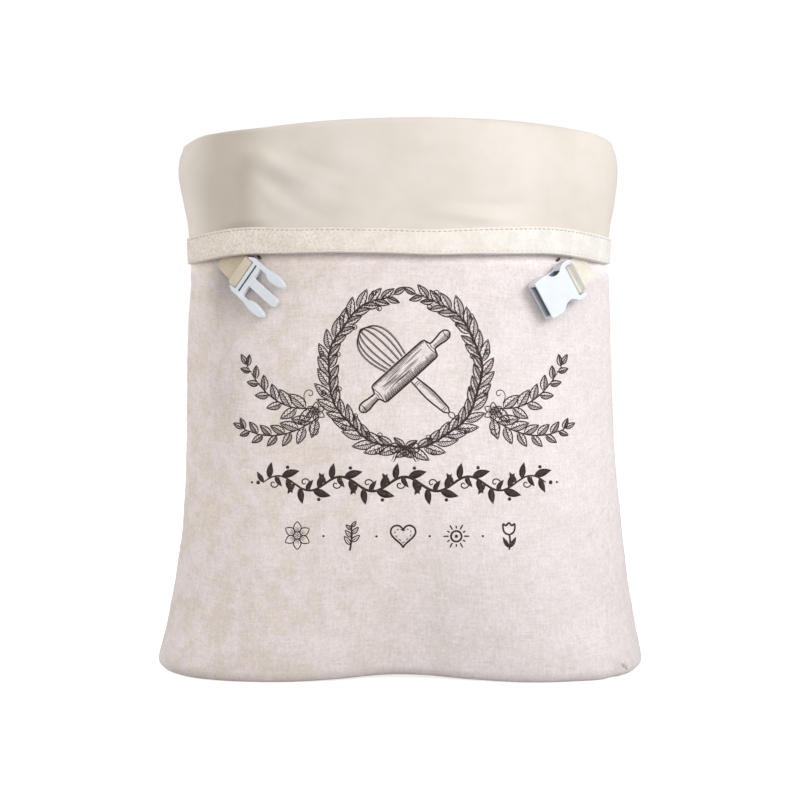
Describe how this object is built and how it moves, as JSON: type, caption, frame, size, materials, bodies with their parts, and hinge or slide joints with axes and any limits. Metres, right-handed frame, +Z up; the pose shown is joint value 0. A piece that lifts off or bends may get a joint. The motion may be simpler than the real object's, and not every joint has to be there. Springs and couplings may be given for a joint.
{
  "type": "linen bread bag",
  "caption": "Flat-bottomed linen bread bag with a satin lining, its top turned down as a bound cuff, and a side-release buckle on short straps.",
  "frame": {"origin": "on the surface that the bag stands on, under the middle of its box", "axes": "+X across the front from left to right, +Y from the front panel to the back panel, +Z up to the open mouth"},
  "size_m": [0.3322, 0.1184, 0.3608],
  "materials": {
    "linen": "plain-woven linen, printed on the front",
    "lining": "smooth satin",
    "binding": "cotton twill tape",
    "webbing": "narrow ribbed webbing",
    "buckle": "moulded, satin gloss"
  },
  "bodies": {
    "root": {"linen_front": "linen", "linen_back": "linen", "lining_front": "lining", "lining_back": "lining", "binding": "binding", "strap_left": "webbing", "strap_right": "webbing", "buckle_prong": "buckle", "buckle_socket": "buckle"}
  },
  "joints": []
}
